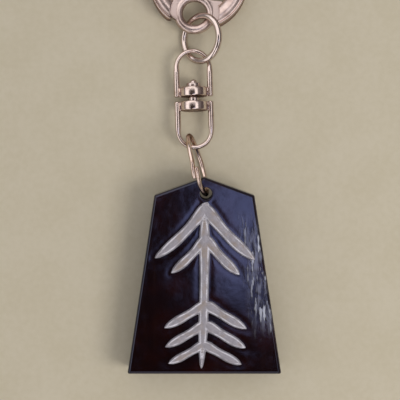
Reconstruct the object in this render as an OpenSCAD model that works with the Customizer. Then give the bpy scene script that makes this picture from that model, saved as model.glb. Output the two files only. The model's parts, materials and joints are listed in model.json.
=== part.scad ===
// Key holder made from a large shogi piece.
// A lacquered wooden wedge lies face up. A jump ring goes through the hole near its point, a
// two-part swivel hangs on that ring, and a second jump ring carries an oval gate key ring.
// All of it lies on a table: +Z is up, +Y runs from the foot of the piece to the key ring, and
// the origin is on the table below the middle of the whole object.

/* [Game piece] */
// Length from the foot to the point
piece_h = 47.8; // [40:0.1:60]
// Height of the two shoulders above the foot
shoulder_h = 43.4; // [36:0.1:45]
// Width at the foot
base_w = 37.4; // [30:0.1:45]
// Width across the shoulders
shoulder_w = 24.2; // [20:0.1:29]
// Thickness at the foot
base_t = 9; // [7:0.1:11]
// Thickness at the point
tip_t = 6; // [4.5:0.1:7]
// Bevel along the edges of both faces
edge_bevel = 0.5; // [0.2:0.05:1]
// Diameter of the hole for the jump ring
hole_d = 3; // [2.8:0.05:4]
// Distance from the point down to the middle of the hole
hole_down = 4; // [3.5:0.1:6]
// How far the hole was drilled to the right of the middle
hole_shift = 0.4; // [0:0.05:1]

/* [Raised mark] */
// Height of the mark, from the tail to the top of the arrow
mark_h = 40.4; // [30:0.1:42]
// Width of the arrow head
mark_w = 24.4; // [14:0.1:26]
// Bare strip between the tail of the mark and the foot
mark_up = 1.4; // [0.8:0.1:3]
// Width of a full brush stroke
stroke_w = 2.5; // [1.4:0.05:3]
// How far the strokes stand out of the face
stroke_rise = 0.6; // [0.2:0.05:1]

/* [Lower jump ring] */
// Outer diameter
low_ring_od = 16; // [15:0.1:18]
// Wire thickness
low_ring_wire = 1.1; // [0.8:0.05:1.2]
// Gap between the cut ends
low_ring_gap = 0.25; // [0.1:0.05:0.6]
// How far it is turned to the left of the piece's middle line, in degrees
low_ring_turn = 16; // [0:1:30]
// How far it leans to the left, in degrees
low_ring_lean = 8; // [0:1:10]

/* [Swivel] */
// Width over the arch of an eye
eye_w = 9.3; // [8.6:0.1:11]
// Length of one half, from its arch to its collar
half_len = 11.9; // [11:0.1:14]
// Wire thickness of the arch
eye_wire = 1.1; // [0.8:0.05:1.3]
// Thickness of the legs
leg_d = 1.45; // [1.1:0.05:1.5]
// Diameter of the collar
collar_d = 6.8; // [6:0.1:7.2]
// Thickness of the collar
collar_t = 2.3; // [1.6:0.1:2.8]
// Gap between the two collars
collar_gap = 1.2; // [0.5:0.05:1.5]
// Diameter of the rivet's shank
rivet_d = 1.6; // [1.2:0.05:2]
// Diameter of the rivet's head
rivet_head_d = 3.4; // [2.6:0.1:4]
// Thickness of the rivet's head
rivet_head_t = 1; // [0.6:0.05:1.3]
// Diameter of the nub on the rivet's head
rivet_nub_d = 1.8; // [1.2:0.05:2.4]
// How far the swivel points to the left, in degrees
swivel_turn = 1.8; // [0:0.2:6]

/* [Upper jump ring] */
// Outer diameter
up_ring_od = 12.7; // [12:0.1:14]
// Wire thickness
up_ring_wire = 1.55; // [1:0.05:1.6]
// Gap between the cut ends
up_ring_gap = 0.25; // [0.1:0.05:0.6]
// How far its left edge is down and its right edge up, in degrees
up_ring_lean = 40; // [36:1:44]

/* [Key ring] */
// Width of the oval
oval_w = 24.4; // [22:0.1:28]
// Length of its straight sides
side_len = 12; // [9:0.1:15]
// Width of the oval's band
band_w = 4.4; // [3.8:0.1:5]
// Greatest thickness of the band
band_t = 5; // [4.4:0.1:5.6]
// Width of the raised rim along the outer edge
rim_w = 0.8; // [0.5:0.05:1]
// Diameter of the hole in the eye
clip_eye_d = 5.8; // [5.4:0.1:7]
// Thickness of the round bar that forms the eye
clip_eye_bar = 2.2; // [1.7:0.05:2.4]
// Distance from the middle of the eye to the middle of the oval's lower arc
eye_to_arc = 8; // [7:0.1:9]
// Diameter of the gate's pin
pin_d = 1.5; // [1.2:0.05:1.8]
// Thickness of the gate's tongue
tongue_t = 1.4; // [1:0.05:1.5]
// Wire thickness of the gate's spring
spring_wire = 0.35; // [0.25:0.05:0.4]
// How far the key ring is turned to the right, in degrees
clip_turn = 7; // [0:1:12]

/* [Hidden] */
$fn = 64;

// Clearances: a running fit, between neighbouring pieces, and past a face for a cut
run_gap = 0.05;
part_gap = 0.3;
overrun = 1;

// How loosely the links hang in each other, and how far each lies to one side
low_play = 1.9;
lift_play = 0.35;
swivel_aside = 0.7;
arch_play = 1.3;
up_ring_aside = 2.2;
clip_play = 1.45;
clip_aside = 1.65;
under_play = 0.8;
ring_set = 0.3;

// How the piece lies: its foot is on the table, and the jump ring that stands below its point
// lifts that end, so that the hole runs along the ring's wire.
half_wedge = atan((base_t - tip_t) / (2 * piece_h));
hole_y = piece_h - hole_down;
low_ring_r = (low_ring_od - low_ring_wire) / 2;
low_ring_z = low_ring_r * cos(low_ring_lean) + low_ring_wire / 2;
lie = asin((low_ring_z - base_t / 2) / (hole_y + low_ring_r));
foot_z = face_z(edge_bevel) * cos(lie) - edge_bevel * sin(lie);
hole_z = foot_z + hole_y * sin(lie);
ring_dip = asin((low_ring_z - hole_z) / (low_ring_r * cos(low_ring_lean)));

// Directions in the plane of the lower ring: along the chain, and up
low_along = [-sin(low_ring_turn), cos(low_ring_turn), 0];
low_side = [-cos(low_ring_turn), -sin(low_ring_turn), 0];
low_up = sin(low_ring_lean) * low_side + cos(low_ring_lean) * [0, 0, 1];
low_reach = low_ring_r * cos(ring_dip) - ring_set;

// Swivel: the wire of the lower arch lies on the lower strand of the ring, and its legs thicken
// over a short taper below the bend
leg_taper = 2.5;
arch_r = (eye_w - eye_wire) / 2;
gap_y = half_len - eye_wire / 2;
collar_r = collar_d / 2;
low_grip = low_ring_r - (low_ring_wire + eye_wire) / 2 - low_play;
strand_slope = asin(low_grip / low_ring_r);
seat_up = ((low_ring_wire + eye_wire) / 2 + lift_play) / cos(strand_slope);
seat_z = low_ring_z - low_ring_r * cos(strand_slope) * cos(low_ring_lean) + seat_up;
top_y = 2 * gap_y + collar_gap;
swivel_pitch = asin((seat_z - collar_r) / (gap_y + collar_gap + collar_t));
swivel_dir = [-sin(swivel_turn) * cos(swivel_pitch), cos(swivel_turn) * cos(swivel_pitch),
    -sin(swivel_pitch)];

// Upper jump ring: one edge on the table, the other over the key ring's eye
up_ring_r = (up_ring_od - up_ring_wire) / 2;
up_ring_z = up_ring_r * sin(up_ring_lean) + up_ring_wire / 2;
up_ahead = up_ring_r - (eye_wire + up_ring_wire) / 2 - arch_play;

// Key ring: its eye lies on the ring's lower edge and its far end on the table
oval_r = oval_w / 2;
band_r = oval_r - band_w / 2;
bore_r = oval_r - band_w;
bar_r = (clip_eye_d + clip_eye_bar) / 2;
eye_z = up_ring_wire + clip_eye_bar / 2 + under_play;
eye_ahead = up_ring_r - (up_ring_wire + clip_eye_bar) / 2 - clip_play + bar_r;
far_y = eye_to_arc + side_len;
clip_pitch = asin((eye_z - band_t / 2) / (far_y + oval_r - 0.4 * rim_w));

// Places from the hole in the piece, then from the origin
low_ring_c = [0, 0, hole_z] + low_reach * low_along + low_ring_r * sin(ring_dip) * low_up;
seat_flat = low_ring_c + low_grip * low_along - swivel_aside * low_side;
seat = [seat_flat[0], seat_flat[1], seat_z];
arch_top = seat + top_y * swivel_dir;
up_ring_c = [arch_top[0] + up_ring_aside, arch_top[1] + up_ahead, up_ring_z];
clip_eye_c = [up_ring_c[0] - clip_aside, up_ring_c[1] + eye_ahead, eye_z];
low_y = -hole_y * cos(lie) - (base_t / 2 - edge_bevel) * sin(lie);
high_y = clip_eye_c[1] + far_y * cos(clip_turn) * cos(clip_pitch) + oval_r;
shift = [hole_shift, -(low_y + high_y) / 2, 0];

// Gate: it turns on a pin at the foot of the right side and closes inside the nose of the hook
pivot = [band_r, eye_to_arc];
knuckle_r = band_w / 2 - run_gap;
slot_h = tongue_t + 3 * (spring_wire + run_gap);
pin_share = 0.96;

// The nose at the end of the hook, and the lip on the gate that laps inside it
nose_len = 1.6;
lap_len = 1.2;
lap_gap = 0.4;
nose_y = far_y - nose_len;
lip_x = band_r + part_gap;

// The web that joins the eye to the arms, and the space that the arms leave round the eye
web_top = 3.6;
web_low = -2.2;
web_t = 1.9;
arm_space = 1;
arm_r = bar_r + clip_eye_bar / 2 + arm_space;

// Where the jump rings are cut, in degrees round them
low_cut_at = 104;
up_cut_at = 262;

// The gate's spring
spring_turns = 2.5;
spring_steps = 16;
spring_sides = 6;
spring_r = pin_d / 2 + run_gap + spring_wire;
spring_leg = 1.1;

// Section of the band: its dome, as shares of the width inside the rim, then the rim, as shares
// of rim_w. The second number is a share of half its thickness.
dome_shares = [[0, 0.34], [0.06, 0.52], [0.2, 0.72], [0.4, 0.9], [0.6, 0.97], [0.8, 0.93], [0.97, 0.8]];
rim_shares = [[0.12, 0.8], [0.35, 0.94], [0.6, 1], [0.88, 0.92], [1, 0.76]];
// Cross-section of a brush stroke, as shares of its half width and of its rise
ridge_shares = [[-1, 0], [-0.86, 0.4], [-0.45, 0.8], [0, 1], [0.45, 0.8], [0.86, 0.4], [1, 0]];
// Width along a stroke: a rounded start, a slight waist and a tapered end
brush_shares = [0.4, 0.8, 1, 1.04, 1, 0.93, 0.88, 0.87, 0.88, 0.92, 0.94, 0.9, 0.78, 0.56, 0.26];
// Strokes: start, bend and end, as shares of mark_w and mark_h, then the share of stroke_w
stroke_shares = [
    [[0, 0.93], [0.01, 0.5], [-0.03, 0], 1.05],
    [[0.035, 1], [-0.12, 0.83], [-0.49, 0.665], 1.15],
    [[-0.01, 0.99], [0.16, 0.82], [0.5, 0.655], 1.25],
    [[0.02, 0.8], [-0.09, 0.69], [-0.33, 0.575], 1],
    [[0, 0.8], [0.11, 0.69], [0.35, 0.565], 1.1],
    [[0.02, 0.395], [-0.12, 0.335], [-0.4, 0.245], 1],
    [[0, 0.395], [0.14, 0.335], [0.42, 0.24], 1.1],
    [[0.01, 0.275], [-0.12, 0.215], [-0.39, 0.13], 1],
    [[0, 0.275], [0.14, 0.215], [0.41, 0.125], 1.1],
    [[0, 0.155], [-0.12, 0.1], [-0.36, 0.03], 0.9],
    [[-0.02, 0.155], [0.12, 0.1], [0.37, 0.025], 1]];

outline = [[-base_w / 2, 0], [base_w / 2, 0], [shoulder_w / 2, shoulder_h], [0, piece_h],
    [-shoulder_w / 2, shoulder_h]];

function face_z(y) = base_t / 2 - y * tan(half_wedge);
function bend(p, q, r, t) = (1 - t) * (1 - t) * p + 2 * t * (1 - t) * q + t * t * r;
function bend_dir(p, q, r, t) = (1 - t) * (q - p) + t * (r - q);
function unit(v) = v / norm(v);

// Faces of a solid swept through n + 1 rings of m points, each ring clockwise as seen along the sweep
function sweep_faces(n, m) = concat(
    [for (i = [0:n - 1], k = [0:m - 1])
        let (a = i * m + k, b = i * m + (k + 1) % m)
        each [[a, b + m, b], [a, a + m, b + m]]],
    [for (k = [1:m - 2]) [0, k, k + 1]],
    [for (k = [1:m - 2]) [n * m, n * m + k + 1, n * m + k]]);

// Lays the piece down: its own frame has the foot at y = 0 and the middle plane at z = 0
module lie_down() {
    translate([0, shift[1] - hole_y * cos(lie), foot_z])
        rotate([lie, 0, 0])
            children();
}

// One bevel of a face: a square bar on its corner along the edge from p to q
module bevel_cut(p, q) {
    a = [p[0], p[1], face_z(p[1])];
    b = [q[0], q[1], face_z(q[1])];
    d = b - a;
    translate((a + b) / 2)
        rotate([0, -atan2(d[2], norm([d[0], d[1]])), atan2(d[1], d[0])])
            rotate([45, 0, 0])
                cube([norm(d) + 2 * edge_bevel, edge_bevel * sqrt(2), edge_bevel * sqrt(2)], center = true);
}

module wedge_blank() {
    intersection() {
        linear_extrude(base_t, center = true)
            polygon(outline);
        rotate([90, 0, 90])
            linear_extrude(base_w, center = true)
                polygon([[0, -base_t / 2], [piece_h, -tip_t / 2], [piece_h, tip_t / 2], [0, base_t / 2]]);
    }
}

module piece_body() {
    color([0.09, 0.05, 0.05])
        lie_down()
            difference() {
                wedge_blank();
                for (side = [0, 1], i = [0:4])
                    mirror([0, 0, side])
                        bevel_cut(outline[i], outline[(i + 1) % 5]);
                translate([hole_shift, hole_y, 0])
                    cylinder(h = base_t, d = hole_d, center = true);
            }
}

// A raised brush stroke: the ridge section carried along a bent line, flat underneath
module brush_stroke(p, q, r, w) {
    n = len(brush_shares) - 1;
    points = [for (i = [0:n])
        let (t = i / n, c = bend(p, q, r, t), d = unit(bend_dir(p, q, r, t)), s = brush_shares[i])
        for (k = ridge_shares)
            [c[0] + d[1] * k[0] * s * w / 2, c[1] - d[0] * k[0] * s * w / 2,
                k[1] * stroke_rise * sqrt(s)]];
    polyhedron(points, sweep_faces(n, len(ridge_shares)), convexity = 4);
}

module raised_arrow() {
    color([0.72, 0.68, 0.6])
        lie_down()
            translate([0, 0, base_t / 2])
                rotate([-half_wedge, 0, 0])
                    translate([0, mark_up, 0])
                        for (s = stroke_shares)
                            brush_stroke([s[0][0] * mark_w, s[0][1] * mark_h],
                                [s[1][0] * mark_w, s[1][1] * mark_h],
                                [s[2][0] * mark_w, s[2][1] * mark_h], s[3] * stroke_w);
}

// A jump ring: round wire bent to a circle, with a narrow gap between its cut ends
module jump_ring(r, wire, gap, cut_at) {
    gap_turn = gap / r * 180 / PI;
    rotate([0, 0, cut_at + gap_turn / 2])
        rotate_extrude(angle = 360 - gap_turn)
            translate([r, 0])
                circle(d = wire);
}

module lower_jump_ring() {
    color([0.78, 0.66, 0.5])
        translate(shift + low_ring_c)
            rotate([90 - low_ring_lean, 0, low_ring_turn + 90])
                jump_ring(low_ring_r, low_ring_wire, low_ring_gap, low_cut_at);
}

// Lays a piece along the swivel: its own frame has y = 0 at the wire of the lower arch
module along_swivel() {
    translate(shift + seat)
        rotate([-swivel_pitch, 0, swivel_turn])
            children();
}

// One half of the swivel: an arch and two legs of wire, cast in one with a round collar
module swivel_half(bore_d) {
    difference() {
        union() {
            translate([0, arch_r, 0])
                rotate([0, 0, 180])
                    rotate_extrude(angle = 180)
                        translate([arch_r, 0])
                            circle(d = eye_wire);
            for (side = [-1, 1])
                translate([side * arch_r, arch_r, 0])
                    rotate([-90, 0, 0]) {
                        cylinder(h = leg_taper, d1 = eye_wire, d2 = leg_d);
                        translate([0, 0, leg_taper])
                            cylinder(h = gap_y - arch_r - leg_taper, d = leg_d);
                    }
            translate([0, gap_y, 0])
                rotate([90, 0, 0])
                    cylinder(h = collar_t, d = collar_d);
            translate([-arch_r, gap_y - collar_t, -eye_wire / 2])
                cube([2 * arch_r, collar_t, eye_wire]);
        }
        translate([0, gap_y + overrun, 0])
            rotate([90, 0, 0])
                cylinder(h = collar_t + 2 * overrun, d = bore_d);
    }
}

module swivel_lower_eye() {
    color([0.8, 0.74, 0.7])
        along_swivel()
            swivel_half(rivet_d);
}

module swivel_upper_eye() {
    color([0.8, 0.74, 0.7])
        along_swivel()
            translate([0, top_y, 0])
                mirror([0, 1, 0])
                    swivel_half(rivet_d + 2 * run_gap);
}

// The rivet is fast in the lower collar; the upper collar turns on it under its head
module swivel_rivet() {
    head_y = gap_y + collar_gap + collar_t + run_gap;
    color([0.72, 0.66, 0.62])
        along_swivel() {
            translate([0, gap_y - collar_t, 0])
                rotate([-90, 0, 0])
                    cylinder(h = head_y - gap_y + collar_t, d = rivet_d);
            translate([0, gap_y, 0])
                rotate([-90, 0, 0])
                    cylinder(h = collar_gap - run_gap, d = (rivet_d + rivet_head_d) / 2);
            translate([0, head_y, 0])
                rotate([-90, 0, 0])
                    cylinder(h = rivet_head_t, d = rivet_head_d);
            translate([0, head_y + rivet_head_t, 0])
                intersection() {
                    sphere(d = rivet_nub_d);
                    translate([-rivet_nub_d, -overrun, -rivet_nub_d])
                        cube([2 * rivet_nub_d, rivet_nub_d + overrun, 2 * rivet_nub_d]);
                }
        }
}

module upper_jump_ring() {
    color([0.8, 0.75, 0.72])
        translate(shift + up_ring_c)
            rotate([0, -up_ring_lean, 0])
                jump_ring(up_ring_r, up_ring_wire, up_ring_gap, up_cut_at);
}

// Lays a piece of the key ring down: its own frame has the middle of the eye at the origin
module along_clip() {
    translate(shift + clip_eye_c)
        rotate([-clip_pitch, 0, -clip_turn])
            children();
}

// The band's section, standing at its distance from the middle of the oval
module band_section() {
    rim_r = oval_r - rim_w;
    upper = concat([for (p = dome_shares) [bore_r + p[0] * (rim_r - bore_r), p[1] * band_t / 2]],
        [for (p = rim_shares) [rim_r + p[0] * rim_w, p[1] * band_t / 2]]);
    lower = [for (i = [len(upper) - 1:-1:0]) [upper[i][0], -upper[i][1]]];
    polygon(concat(upper, lower));
}

// A stretch of the oval's arc, either way round from one angle to the other
module band_arc(y, from, to) {
    translate([0, y, 0])
        rotate([0, 0, from])
            mirror([0, to < from ? 1 : 0, 0])
                rotate_extrude(angle = abs(to - from))
                    band_section();
}

module band_side(side, from_y, to_y) {
    translate([0, from_y, 0])
        mirror([side < 0 ? 1 : 0, 0, 0])
            rotate([-90, 0, 0])
                linear_extrude(to_y - from_y)
                    band_section();
}

module at_pivot(h, d) {
    translate([pivot[0], pivot[1], 0])
        cylinder(h = h, d = d, center = true);
}

// The hook: a C of band whose two arms stop short of the eye, with a nose at the top right
module hook_band() {
    difference() {
        union() {
            band_arc(eye_to_arc, 180, 360);
            band_side(-1, eye_to_arc, far_y);
            band_arc(far_y, 0, 180);
            band_side(1, nose_y, far_y);
            intersection() {
                band_side(1, nose_y - lap_len, far_y);
                translate([lip_x, nose_y - lap_len - overrun, -band_t])
                    cube([band_w, lap_len + 2 * overrun, 2 * band_t]);
            }
        }
        cylinder(h = 2 * band_t, r = arm_r, center = true);
        translate([-arm_r - overrun, eye_to_arc - oval_r - overrun, -band_t])
            cube([2 * (arm_r + overrun), web_low - eye_to_arc + oval_r + overrun, 2 * band_t]);
    }
}

// The thin web that joins the eye to the two arms
module eye_web() {
    intersection() {
        translate([0, eye_to_arc, 0])
            cylinder(h = web_t, r = band_r + band_w / 4, center = true);
        translate([-oval_r, web_low, -band_t])
            cube([oval_w, web_top - web_low, 2 * band_t]);
    }
}

module key_ring_body() {
    color([0.82, 0.77, 0.75])
        along_clip()
            difference() {
                union() {
                    hook_band();
                    difference() {
                        eye_web();
                        cylinder(h = band_t, r = bar_r, center = true);
                    }
                    rotate_extrude()
                        translate([bar_r, 0])
                            circle(d = clip_eye_bar);
                    at_pivot(band_t * pin_share, 2 * knuckle_r);
                }
                at_pivot(slot_h, 2 * (knuckle_r + part_gap));
                at_pivot(2 * band_t, pin_d);
            }
}

module key_ring_gate() {
    color([0.82, 0.77, 0.75])
        along_clip()
            difference() {
                union() {
                    difference() {
                        union() {
                            band_side(1, eye_to_arc, nose_y - lap_len - lap_gap);
                            intersection() {
                                band_side(1, eye_to_arc, nose_y - lap_gap);
                                translate([bore_r - overrun, eye_to_arc, -band_t])
                                    cube([lip_x - part_gap / 2 - bore_r + overrun, side_len, 2 * band_t]);
                            }
                        }
                        at_pivot(2 * band_t, 2 * (knuckle_r + part_gap));
                    }
                    tongue();
                }
                at_pivot(2 * band_t, pin_d + 2 * run_gap);
            }
}

// The gate's flat tongue, low in the slot so that the spring has room above it
module tongue() {
    translate([0, 0, tongue_t / 2 - slot_h / 2 + run_gap])
        intersection() {
            union() {
                at_pivot(tongue_t, 2 * (knuckle_r - rim_w / 4));
                translate([bore_r + rim_w / 2, eye_to_arc, -tongue_t / 2])
                    cube([band_w - rim_w, band_w, tongue_t]);
            }
            at_pivot(tongue_t, 2 * (knuckle_r + 3 * part_gap));
        }
}

module gate_pin() {
    color([0.7, 0.66, 0.64])
        along_clip()
            at_pivot(band_t * pin_share, pin_d);
}

// A small torsion spring round the pin, above the tongue, with a straight leg at each end
module gate_spring() {
    low = tongue_t - slot_h / 2 + 2 * run_gap + spring_wire / 2;
    high = slot_h / 2 - run_gap - spring_wire / 2;
    coil = [for (i = [0:spring_turns * spring_steps])
        [i * 360 / spring_steps, 0, low + (high - low) * i / (spring_turns * spring_steps)]];
    stations = concat([[0, -spring_leg, low]], coil, [[spring_turns * 360, spring_leg, high]]);
    ring = [for (s = stations, k = [0:spring_sides - 1])
        let (b = k * 360 / spring_sides, out = spring_r + spring_wire / 2 * cos(b))
        [out * cos(s[0]) - s[1] * sin(s[0]), out * sin(s[0]) + s[1] * cos(s[0]),
            s[2] - spring_wire / 2 * sin(b)]];
    color([0.6, 0.6, 0.62])
        along_clip()
            translate([pivot[0], pivot[1], 0])
                polyhedron(ring, sweep_faces(len(stations) - 1, spring_sides), convexity = 6);
}

piece_body();
raised_arrow();
lower_jump_ring();
swivel_lower_eye();
swivel_upper_eye();
swivel_rivet();
upper_jump_ring();
key_ring_body();
key_ring_gate();
gate_pin();
gate_spring();
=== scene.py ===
import bpy
import json
import numpy as np
from mathutils import Matrix


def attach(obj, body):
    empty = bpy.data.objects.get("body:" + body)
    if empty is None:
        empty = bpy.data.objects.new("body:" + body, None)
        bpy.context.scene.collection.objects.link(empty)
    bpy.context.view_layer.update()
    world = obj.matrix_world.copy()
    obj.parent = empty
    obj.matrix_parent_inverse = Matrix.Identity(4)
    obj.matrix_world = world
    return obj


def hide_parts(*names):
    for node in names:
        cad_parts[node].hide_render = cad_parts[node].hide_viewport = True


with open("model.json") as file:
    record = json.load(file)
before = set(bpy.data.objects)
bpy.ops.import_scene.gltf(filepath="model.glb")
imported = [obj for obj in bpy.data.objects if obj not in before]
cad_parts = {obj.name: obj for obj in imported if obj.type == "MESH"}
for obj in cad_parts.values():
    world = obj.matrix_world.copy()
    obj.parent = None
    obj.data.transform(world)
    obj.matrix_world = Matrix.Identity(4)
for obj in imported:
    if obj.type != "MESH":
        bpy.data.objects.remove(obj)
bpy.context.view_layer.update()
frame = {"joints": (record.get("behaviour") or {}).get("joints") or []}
joints = {joint["name"]: joint for joint in frame["joints"]}

# The game piece: a five-sided wedge of hardwood under many coats of near-black lacquer, thick
# enough to ripple, to soften the edges and to sink round the raised mark. It is drilled near its
# point for the jump ring. Lengths here and below are in millimetres, and turns in degrees.
mm = 0.001
piece_h = 47.8
shoulder_h = 43.4
base_w = 37.4
shoulder_w = 24.2
base_t = 9.0
tip_t = 6.0
hole_d = 3.0
hole_down = 4.0
hole_shift = 0.4
edge_round = 0.64
edge_power = 1.4
corner_round = 0.45
least_corner = 0.12
rim_round = 0.14

# Rows of its surface, by their turns on the hole's rim and on the edge and by their number
# elsewhere, and its columns along each side and round each corner
rim_turns = (0, 22, 45, 68)
edge_turns = np.linspace(9, 90, 10)
face_rows = 96
wall_rows = 14
side_steps = [96, 100, 40, 40, 100]
corner_steps = 8

# The lacquer's ripples, and the moat in which it sinks round the mark. Each fades out over its own
# distance towards the piece's edge and the hole.
ripple_height = 0.008
ripple_lengths = (3, 12)
ripple_waves = 14
ripple_fade = 1.5
face_seed = 11
back_seed = 5
moat_depth = 0.015
moat_width = 0.8
moat_from = 0.25
moat_fade = 1.0

# The lacquer's colours, how wide its patterns are, and where it is crinkled: pairs of places between
# which the crinkles set in, two across the right edge, whose lean they follow, and two along it
deep_brown = (0.005, 0.0012, 0.001, 1)
thin_brown = (0.0125, 0.002, 0.0008, 1)
grain_brown = (0.016, 0.006, 0.004, 1)
# The pale grey of the folds and the near white of the glints are painted light: a sheen and glints standing
# in for light caught by the crinkles
painted_sheen_grey = (0.19, 0.19, 0.24, 1)
painted_glint_white = (0.5, 0.5, 0.55, 1)
hole_brown = (0.01, 0.005, 0.003, 1)
mirror_blue = (0.6, 0.68, 1, 1)
cloud_size = 9
grain_size = 1.6
grain_stretch = (1, 0.12, 1)
fold_size = 3.0
fold_stretch = (2.6, 0.6, 1)
glint_size = 2.4
glint_stretch = (3.2, 0.5, 1)
wave_size = 5.5
dimple_size = 1.1
rub_size = 2.6
lacquer_relief = 0.2
edge_lean = 0.153
crinkle_left = (2.9, 8.5)
crinkle_right = (9.4, 9.0)
crinkle_foot = (-53, -45)
crinkle_head = (-20, -30)

face_slope = (base_t - tip_t) / (2 * piece_h)
hole_at = np.array([hole_shift, piece_h - hole_down])
corners = np.array([[-base_w / 2, 0], [base_w / 2, 0], [shoulder_w / 2, shoulder_h], [0, piece_h],
                    [-shoulder_w / 2, shoulder_h]])


def unit(v):
    """The vector, or each row of vectors, divided by its length."""
    v = np.asarray(v, float)
    return v / np.linalg.norm(v, axis=-1, keepdims=True)


class Place:
    """A local frame: where its origin lies in the object, in metres, and its x, y and z axes."""

    def __init__(self, origin, x_axis, z_axis):
        self.origin = np.array(origin, float)
        z = unit(z_axis)
        x = unit(np.array(x_axis) - z * np.dot(x_axis, z))
        self.axes = np.array([x, np.cross(z, x), z])

    def __call__(self, points):
        """Points in millimetres in this frame, as points of the object in metres."""
        return self.origin + points * mm @ self.axes

    def back(self, points):
        """Points of the object in metres, as points in millimetres in this frame."""
        return (points - self.origin) @ self.axes.T / mm


def shell(points, closed=False, caps="fan"):
    """A closed surface over a grid of rows of points, each row a loop: its points, and its faces in
    groups. Quads join each point to the next in its loop and in the next row. The end rows are
    closed by a fan round their middle, or by a strip across the loop, and with closed the last row
    joins the first."""
    rows, columns = points.shape[:2]
    index = np.arange(rows * columns).reshape(rows, columns)
    here = index if closed else index[:-1]
    there = np.roll(index, -1, axis=0) if closed else index[1:]
    quads = np.stack([here, np.roll(here, -1, 1), np.roll(there, -1, 1), there], -1).reshape(-1, 4)
    flat = points.reshape(-1, 3)
    groups = [quads]
    if closed:
        return flat, groups
    for loop in (index[0][::-1], index[-1]):
        if caps == "fan":
            middle = len(flat)
            flat = np.vstack([flat, flat[loop].mean(0)])
            groups.append(np.stack([loop, np.roll(loop, -1), np.full(columns, middle)], -1))
        else:
            half = columns // 2
            near, far = loop[:half], loop[half:][::-1]
            groups.append(np.stack([near[:-1], near[1:], far[1:], far[:-1]], -1))
    return flat, groups


def outward(points, groups):
    """The groups of faces, all turned round if together they enclose a negative volume, which is
    summed from the triangles of each face."""
    corner = points - points.mean(0)
    volume = 0
    for faces in groups:
        for k in range(1, faces.shape[1] - 1):
            a, b, c = corner[faces[:, 0]], corner[faces[:, k]], corner[faces[:, k + 1]]
            volume += np.einsum("ij,ij->", a, np.cross(b, c))
    return groups if volume > 0 else [faces[:, ::-1] for faces in groups]


def skin(name, shells, place):
    """Joins closed shells, worked out in a place's frame, into one mesh of the object."""
    points, faces, count = [], [], 0
    for some, groups in shells:
        for group in outward(some, groups):
            faces += (group + count).tolist()
        points.append(place(some))
        count += len(some)
    mesh = bpy.data.meshes.new(name)
    mesh.from_pydata(np.vstack(points).tolist(), [], faces)
    return mesh


def add_piece(mesh, body, finish, node):
    """Makes a mesh a smooth piece that moves with a body and replaces the solid of a node."""
    mesh.polygons.foreach_set("use_smooth", np.ones(len(mesh.polygons), bool))
    mesh.materials.clear()
    mesh.materials.append(finish)
    piece = bpy.data.objects.new(mesh.name, mesh)
    bpy.context.scene.collection.objects.link(piece)
    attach(piece, body)
    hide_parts(node)


class Signal:
    """An output of a material's node, so that sums of such outputs are written as expressions."""

    def __init__(self, finish, socket):
        self.finish = finish
        self.socket = socket

    def joined(self, operation, first, second):
        """The output of a Math node that works on two outputs or numbers."""
        return self.finish.node("ShaderNodeMath", {"operation": operation}, {0: first, 1: second})

    def __add__(self, other):
        return self.joined("ADD", self, other)

    def __sub__(self, other):
        return self.joined("SUBTRACT", self, other)

    def __rsub__(self, other):
        return self.joined("SUBTRACT", other, self)

    def __mul__(self, other):
        return self.joined("MULTIPLY", self, other)

    __radd__ = __add__
    __rmul__ = __mul__


class Finish:
    """The nodes of a material, or of the world, which vary it from place to place."""

    def __init__(self, owner, coordinates="Object"):
        owner.use_nodes = True
        self.owner = owner
        self.tree = owner.node_tree
        self.tree.nodes.clear()
        self.at = self.node("ShaderNodeTexCoord", {}, {}, coordinates)

    def node(self, kind, settings, inputs, output=0):
        """Adds a node, its settings first, then the values or links of its sockets, and gives back
        one of its outputs."""
        made = self.tree.nodes.new(kind)
        for name, value in settings.items():
            setattr(made, name, value)
        for name, value in inputs.items():
            if isinstance(value, Signal):
                self.tree.links.new(value.socket, made.inputs[name])
            else:
                made.inputs[name].default_value = value
        return Signal(self, made.outputs[output]) if made.outputs else None

    def noise(self, size, detail=2.0, stretch=(1, 1, 1), roughness=0.5):
        """Soft noise from 0 to 1 whose spots are about size millimetres wide."""
        spots = self.node("ShaderNodeMapping", {}, {"Vector": self.at, "Scale": stretch})
        inputs = {"Vector": spots, "Scale": 1 / (size * mm), "Detail": detail, "Roughness": roughness}
        return self.node("ShaderNodeTexNoise", {}, inputs)

    def along(self, axis):
        """How far along an axis a point lies."""
        return self.node("ShaderNodeSeparateXYZ", {}, {"Vector": self.at}, axis)

    def stored(self, name):
        """A value stored with each vertex of the mesh."""
        return self.node("ShaderNodeAttribute", {"attribute_name": name}, {}, "Fac")

    def between(self, low, high, signal):
        """Where the signal lies between two levels: 0 at the low one, 1 at the high one."""
        return self.node("ShaderNodeMapRange", {"interpolation_type": "SMOOTHSTEP"},
                         {"Value": signal, "From Min": low, "From Max": high})

    def mixed(self, share, first, second):
        """The first colour, turning to the second as the share goes from 0 to 1."""
        return self.node("ShaderNodeMix", {"data_type": "RGBA"}, {0: share, 6: first, 7: second}, 2)

    def bump(self, height, depth):
        """A normal for a height from 0 to 1 that stands for a depth in millimetres."""
        return self.node("ShaderNodeBump", {}, {"Height": height, "Distance": depth * mm})

    def ready(self, inputs):
        """Closes the material with a surface shader that has these inputs."""
        shader = self.node("ShaderNodeBsdfPrincipled", {}, inputs, "BSDF")
        self.node("ShaderNodeOutputMaterial", {}, {"Surface": shader})
        return self.owner


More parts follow.
